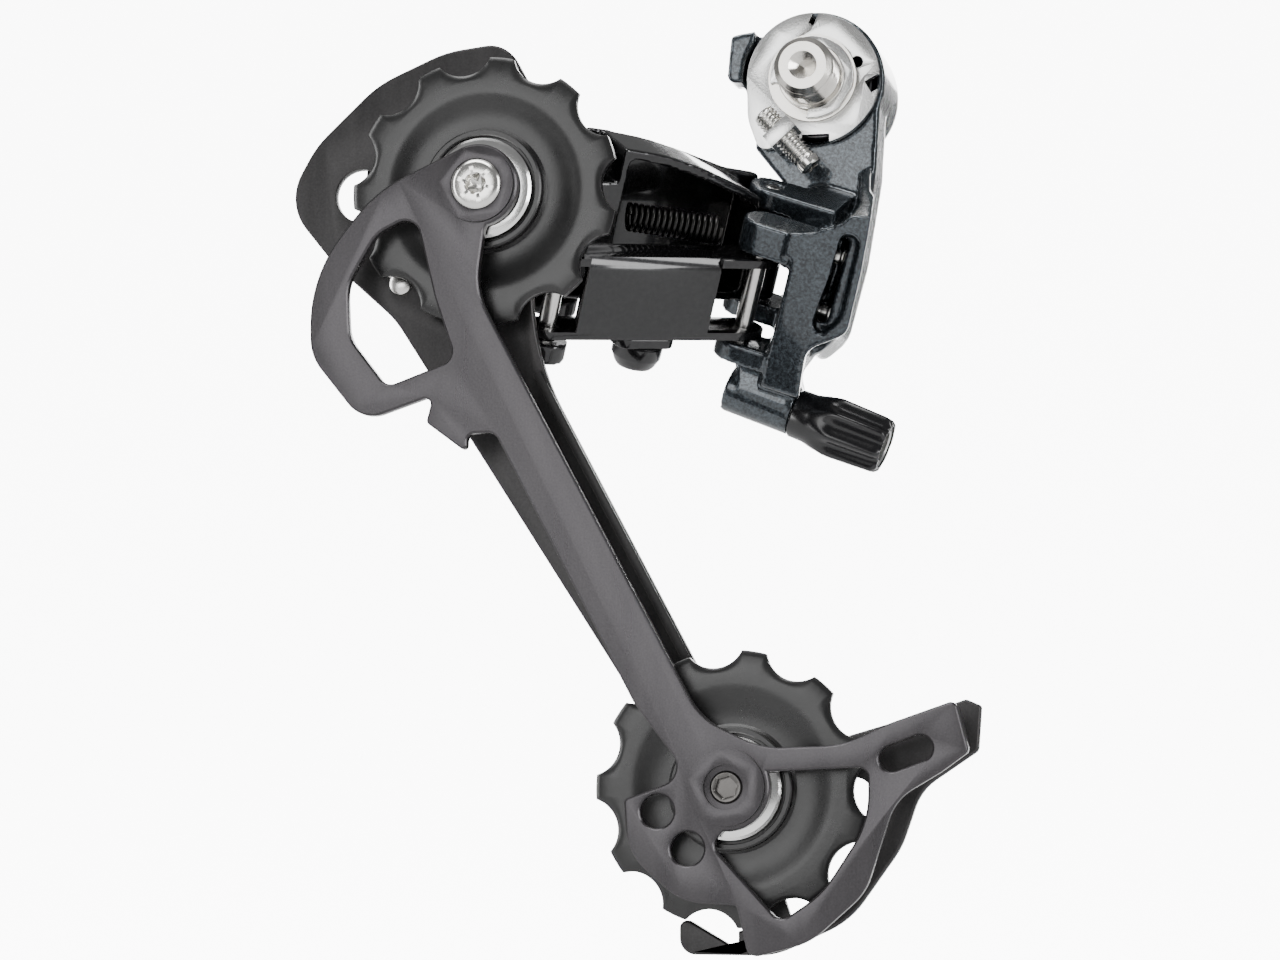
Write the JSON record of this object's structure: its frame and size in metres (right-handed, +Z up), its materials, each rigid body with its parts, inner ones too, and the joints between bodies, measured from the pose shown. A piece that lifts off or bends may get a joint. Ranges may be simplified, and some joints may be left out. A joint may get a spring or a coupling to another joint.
{
  "type": "bicycle rear derailleur",
  "caption": "Sprung bicycle rear derailleur with a long pulley cage, slanted parallelogram, body-angle screw and cable adjuster.",
  "frame": {"origin": "on the hanger bolt's axis, where the bolt's shoulder meets the hanger (the inboard end of the plain shaft)", "axes": "+X rearward, +Y outboard (away from the wheel, towards the bolt's head), +Z up; the bolt screws into the hanger along -Y"},
  "size_m": [0.1083, 0.0816, 0.1555],
  "materials": {
    "dark_plate": "satin",
    "cast_paint": "satin hammered",
    "black_cast": "gloss",
    "pressed_steel": "satin",
    "bolt_steel": "bright",
    "dark_steel": "satin",
    "spring_steel": "satin",
    "bushing": "sintered",
    "pulley_plastic": "satin",
    "black_plastic": "satin"
  },
  "bodies": {
    "hanger_side": {"hanger_bolt": "bolt_steel", "bolt_snap_ring": "pressed_steel", "stop_collar": "pressed_steel"},
    "stop_plate_body": {"stop_plate": "pressed_steel"},
    "b_screw": {"body_angle_screw": "bolt_steel"},
    "bracket": {"bracket_body": "cast_paint", "bracket_bushing": "bushing", "bracket_dust_cap": "black_plastic", "bracket_spring": "spring_steel", "inner_bracket_pin": "bolt_steel", "outer_bracket_pin": "bolt_steel", "return_spring": "spring_steel", "adjuster_click_ring": "black_plastic", "adjuster_spring": "spring_steel"},
    "high_screw": {"high_limit_screw": "bolt_steel"},
    "low_screw": {"low_limit_screw": "bolt_steel"},
    "adjuster": {"adjuster_tube": "pressed_steel", "adjuster_barrel": "black_plastic"},
    "inner_link_body": {"inner_link": "black_cast", "cable_clamp_washer": "pressed_steel", "cable_clamp_bolt": "bolt_steel"},
    "outer_link_body": {"outer_link": "black_cast"},
    "knuckle": {"knuckle_body": "black_cast", "inner_knuckle_pin": "bolt_steel", "outer_knuckle_pin": "bolt_steel", "knuckle_bushing": "bushing", "cage_spring": "spring_steel", "knuckle_cover": "black_plastic"},
    "cage": {"cage_inner_plate": "dark_plate", "cage_outer_plate": "dark_plate", "cage_stop_pin": "dark_steel", "cage_shaft": "dark_steel", "cage_shaft_ring": "spring_steel", "guide_pulley_bushing": "bushing", "guide_pulley_bolt": "bolt_steel", "tension_pulley_bushing": "bushing", "tension_pulley_bolt": "dark_steel"},
    "guide_wheel": {"guide_pulley": "pulley_plastic", "guide_pulley_caps": "pressed_steel"},
    "tension_wheel": {"tension_pulley": "pulley_plastic", "tension_pulley_caps": "pressed_steel"}
  },
  "joints": [
    {"name": "stop_plate_turn", "type": "hinge", "parent": "hanger_side", "child": "stop_plate_body", "pos_m": [0, 0.003, 0], "axis": [0, -1, 0], "range_deg": [-8, 4]},
    {"name": "body_angle_adjust", "type": "slide", "parent": "stop_plate_body", "child": "b_screw", "axis": [0.6652, 0, -0.7466], "range_m": [-0.002, 0.001]},
    {"name": "b_pivot", "type": "hinge", "parent": "hanger_side", "child": "bracket", "pos_m": [0, 0.012, 0], "axis": [0, 1, 0], "range_deg": [0, 45], "stiffness_Nm_per_rad": 0.3, "springref_deg": -57.3, "deforming": ["bracket_spring"]},
    {"name": "high_limit_adjust", "type": "slide", "parent": "bracket", "child": "high_screw", "axis": [0.9463, 0, -0.3232], "range_m": [-0.0015, 0.0015]},
    {"name": "low_limit_adjust", "type": "slide", "parent": "bracket", "child": "low_screw", "axis": [0.9463, 0, -0.3232], "range_m": [-0.0015, 0.0015]},
    {"name": "adjuster_turn", "type": "hinge", "parent": "bracket", "child": "adjuster", "pos_m": [0.00053, 0.003, -0.05699], "axis": [0.9272, 0, -0.3746], "range_deg": [0, 1080]},
    {"name": "link_swing", "type": "hinge", "parent": "bracket", "child": "outer_link_body", "pos_m": [-0.0086, 0.00139, -0.027], "axis": [-0.2929, 0.4225, -0.8577], "range_deg": [0, 64], "stiffness_Nm_per_rad": 0.15, "springref_deg": -34.38, "deforming": ["return_spring"]},
    {"name": "inner_link_swing", "type": "hinge", "parent": "bracket", "child": "inner_link_body", "pos_m": [-0.0091, -0.0075, -0.0382], "axis": [-0.2929, 0.4225, -0.8577], "range_deg": [0, 64]},
    {"name": "knuckle_swing", "type": "hinge", "parent": "outer_link_body", "child": "knuckle", "pos_m": [-0.03609, -0.02281, -0.02953], "axis": [-0.2929, 0.4225, -0.8577], "range_deg": [-64, 0]},
    {"name": "cage_pivot", "type": "hinge", "parent": "knuckle", "child": "cage", "pos_m": [-0.0524, -0.03, -0.022], "axis": [0, 1, 0], "range_deg": [0, 110], "stiffness_Nm_per_rad": 0.12, "springref_deg": -85.94, "deforming": ["cage_spring"]},
    {"name": "guide_spin", "type": "hinge", "parent": "cage", "child": "guide_wheel", "pos_m": [-0.0444, -0.0445, -0.0255], "axis": [0, 1, 0], "continuous": true},
    {"name": "tension_spin", "type": "hinge", "parent": "cage", "child": "tension_wheel", "pos_m": [-0.00549, -0.0445, -0.1187], "axis": [0, 1, 0], "continuous": true}
  ],
  "couplings": [
    {"joint": "inner_link_swing", "follows": "link_swing", "ratio": 1},
    {"joint": "knuckle_swing", "follows": "link_swing", "ratio": -1}
  ]
}
